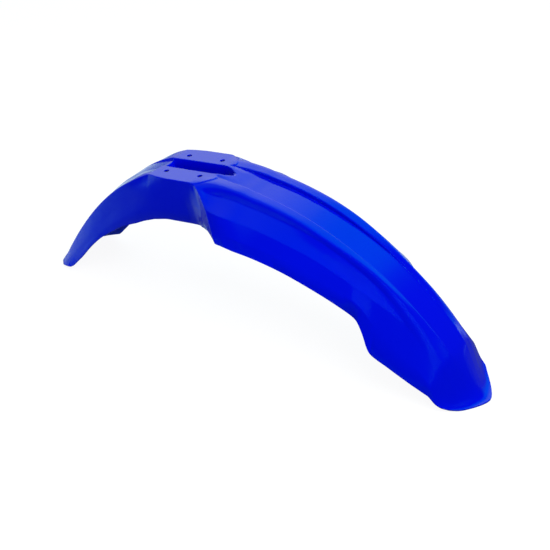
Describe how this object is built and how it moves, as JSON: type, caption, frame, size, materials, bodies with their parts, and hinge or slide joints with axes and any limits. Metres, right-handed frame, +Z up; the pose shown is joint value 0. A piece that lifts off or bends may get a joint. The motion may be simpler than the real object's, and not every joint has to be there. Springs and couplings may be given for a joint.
{
  "type": "motorcycle front mudguard",
  "caption": "One-piece off-road motorcycle front mudguard with a narrow channel tail, raised bolt pads beside a deep recess, fork clearances, wide wings and a spoon-shaped tip.",
  "frame": {"origin": "centre of the four mounting holes, on the top face of the pads", "axes": "+X forwards along the motorcycle towards the tip, +Y to the motorcycle's left, +Z up out of the pads"},
  "size_m": [0.772, 0.208, 0.3141],
  "materials": {
    "blue_plastic": "gloss"
  },
  "bodies": {
    "root": {"front_mudguard": "blue_plastic"}
  },
  "joints": []
}
